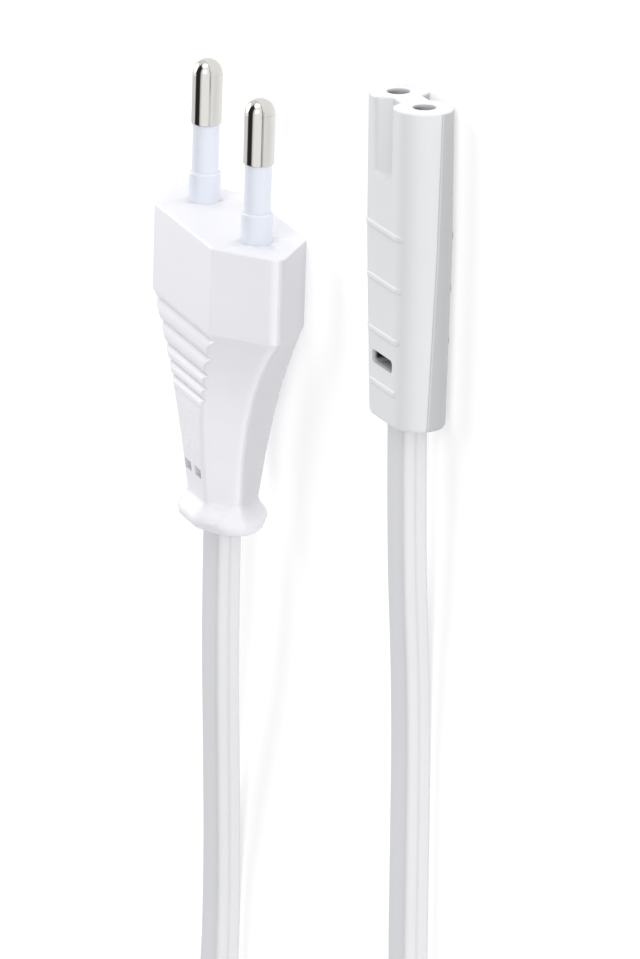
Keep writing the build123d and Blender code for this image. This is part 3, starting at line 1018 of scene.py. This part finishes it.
class LEAD_OT_tie(bpy.types.Operator):
    """Wraps the woven tie round the coil"""

    bl_idname = "lead.tie"
    bl_label = "Tie"

    def add_loop(self, inner, outer, low, high, centre):
        """The tie's upright loop round the turns, with rounded corners, in edit mode."""
        bpy.ops.object.select_all(action="DESELECT")
        bpy.ops.mesh.primitive_plane_add(size=1.0)
        band = bpy.context.object
        band.scale = (outer - inner, high - low, 1.0)
        band.rotation_euler = (math.pi / 2, 0, 0)
        band.location = ((inner + outer) / 2, 0, (low + high) / 2)
        named("tie_band")
        band.rotation_euler = (0, 0, TIE_AT)
        band.location = centre
        bpy.ops.object.transform_apply(location=True, rotation=True, scale=True)
        bpy.ops.object.mode_set(mode="EDIT")
        bpy.ops.mesh.select_all(action="SELECT")
        bpy.ops.mesh.bevel(offset=TIE_CORNER, segments=4, profile=0.5, affect="VERTICES")
        bpy.ops.mesh.select_all(action="SELECT")
        bpy.ops.mesh.delete(type="ONLY_FACE")
        return band

    def execute(self, context):
        sizes, colours = context.scene.lead_sizes, context.scene.lead_colours
        centre = Vector((*sizes.coil_centre, 0.0))
        turns = (sizes.coil_turns - (COIL_ENTER - COIL_LEAVE) / math.tau) / 2
        inner = sizes.coil_radius - turns * sizes.coil_pitch - sizes.cord_thick / 2
        outer = sizes.coil_radius + sizes.cord_thick / 2
        low, high = sizes.coil_low - sizes.cord_width / 2, sizes.coil_high + sizes.cord_width / 2
        middle = (inner + outer) / 2
        band = self.add_loop(inner, outer, low, high, centre)
        bpy.ops.mesh.select_all(action="SELECT")
        bpy.ops.mesh.spin(steps=12, angle=-TIE_WIDTH / middle, center=centre, axis=(0, 0, 1))
        outward()
        bpy.ops.object.mode_set(mode="OBJECT")
        layer = band.data.uv_layers.new(name="weave")
        for loop, spot in zip(band.data.loops, layer.data):
            offset = band.data.vertices[loop.vertex_index].co - centre
            spot.uv = (math.atan2(offset.y, offset.x) * middle, offset.z + math.hypot(offset.x, offset.y))
        thick = band.modifiers.new("thickness", "SOLIDIFY")
        thick.thickness = TIE_THICK
        thick.offset = 1.0
        bpy.ops.object.modifier_apply(modifier=thick.name)
        soft = band.modifiers.new("soft_edges", "BEVEL")
        soft.width = TIE_EDGE
        soft.segments = 2
        soft.limit_method = "ANGLE"
        bpy.ops.object.modifier_apply(modifier=soft.name)
        finish_piece(band, woven_finish(colours.tie), "tie_band", "coil_tie")
        return {"FINISHED"}


class LEAD_OT_stage(bpy.types.Operator):
    """Sets out the pale floor, the soft light and the camera"""

    bl_idname = "lead.stage"
    bl_label = "Stage"

    def add_floor(self, colour):
        bpy.ops.object.select_all(action="DESELECT")
        bpy.ops.mesh.primitive_plane_add(size=12.0)
        floor = named("pale_floor")
        floor.data.materials.append(floor_finish(colour))

    def add_surroundings(self, sky):
        """White surroundings with a dark strip overhead, a dark skyline and a bright front.

        The pins mirror them.
        """
        world = bpy.data.worlds.new("white_studio")
        bpy.context.scene.world = world
        world.use_nodes = True
        start = Wire(world.node_tree)
        x, _, z = axes(start.node("ShaderNodeTexCoord", output="Generated"))
        angle = start.math("ARCTAN2", z, x)

        def band(middle, full, whole):
            return abs(angle - math.radians(middle)).fade(math.radians(full), math.radians(whole))

        dark = band(*DARK_STRIP).larger(band(*DARK_SKYLINE))
        level = (1.0 + 0.30 * band(*BRIGHT_FRONT)) * (1.0 - 0.97 * dark) * sky
        background = world.node_tree.nodes["Background"]
        background.inputs["Color"].default_value = (1.0, 1.0, 1.0, 1.0)
        plug_in(background, level, "Strength")

    def add_light(self, name, place, aim, size, power):
        light = bpy.data.lights.new(name, "AREA")
        light.shape = "DISK"
        light.size = size
        light.energy = power
        lamp = bpy.data.objects.new(name, light)
        bpy.context.scene.collection.objects.link(lamp)
        lamp.location = place
        lamp.rotation_euler = (Vector(aim) - Vector(place)).to_track_quat("-Z", "Y").to_euler()

    def add_camera(self, stage):
        """The camera, whose picture has +Y upwards but for a slight roll."""
        level = math.cos(stage.elevation)
        back = Vector((
            level * math.cos(stage.azimuth), level * math.sin(stage.azimuth), math.sin(stage.elevation)
        ))
        right = Vector((0, 1, 0)).cross(back).normalized()
        up = back.cross(right)
        turn = Matrix((right, up, back)).transposed().to_4x4() @ Matrix.Rotation(stage.roll, 4, "Z")
        camera = bpy.data.cameras.new("camera")
        camera.lens = stage.lens
        camera.clip_end = 20.0
        eye = bpy.data.objects.new("camera", camera)
        bpy.context.scene.collection.objects.link(eye)
        eye.matrix_world = Matrix.Translation(Vector(stage.target) + back * stage.distance) @ turn
        bpy.context.scene.camera = eye

    def execute(self, context):
        stage = context.scene.lead_stage
        self.add_floor(context.scene.lead_colours.floor)
        self.add_surroundings(stage.sky)
        for name, place, aim, size in LAMPS:
            self.add_light(name, place, aim, size, getattr(stage, name))
        self.add_camera(stage)
        context.scene.view_settings.view_transform = "Standard"
        return {"FINISHED"}


class LEAD_PT_panel(bpy.types.Panel):
    """Shows the sizes, colours and stage of the lead, and a button for each group of pieces"""

    bl_label = "Mains Lead"
    bl_idname = "LEAD_PT_panel"
    bl_space_type = "VIEW_3D"
    bl_region_type = "UI"
    bl_category = "Lead"

    def draw(self, context):
        for group in (context.scene.lead_sizes, context.scene.lead_colours, context.scene.lead_stage):
            box = self.layout.box()
            for name in group.bl_rna.properties.keys():
                if name not in ("name", "rna_type"):
                    box.prop(group, name)
        for piece in PIECES:
            self.layout.operator(piece.bl_idname)


PIECES = (
    LEAD_OT_plug, LEAD_OT_pins, LEAD_OT_connector, LEAD_OT_inside, LEAD_OT_cord, LEAD_OT_tie, LEAD_OT_stage
)
CLASSES = (LeadSizes, LeadColours, LeadStage, *PIECES, LEAD_PT_panel)


def register():
    for one in CLASSES:
        bpy.utils.register_class(one)
    bpy.types.Scene.lead_sizes = PointerProperty(type=LeadSizes)
    bpy.types.Scene.lead_colours = PointerProperty(type=LeadColours)
    bpy.types.Scene.lead_stage = PointerProperty(type=LeadStage)


def unregister():
    del bpy.types.Scene.lead_stage
    del bpy.types.Scene.lead_colours
    del bpy.types.Scene.lead_sizes
    for one in reversed(CLASSES):
        bpy.utils.unregister_class(one)


def main():
    """Builds every piece and the stage."""
    register()
    bpy.ops.lead.plug()
    bpy.ops.lead.pins()
    bpy.ops.lead.connector()
    bpy.ops.lead.inside()
    bpy.ops.lead.cord()
    bpy.ops.lead.tie()
    bpy.ops.lead.stage()


if __name__ == "__main__":
    main()
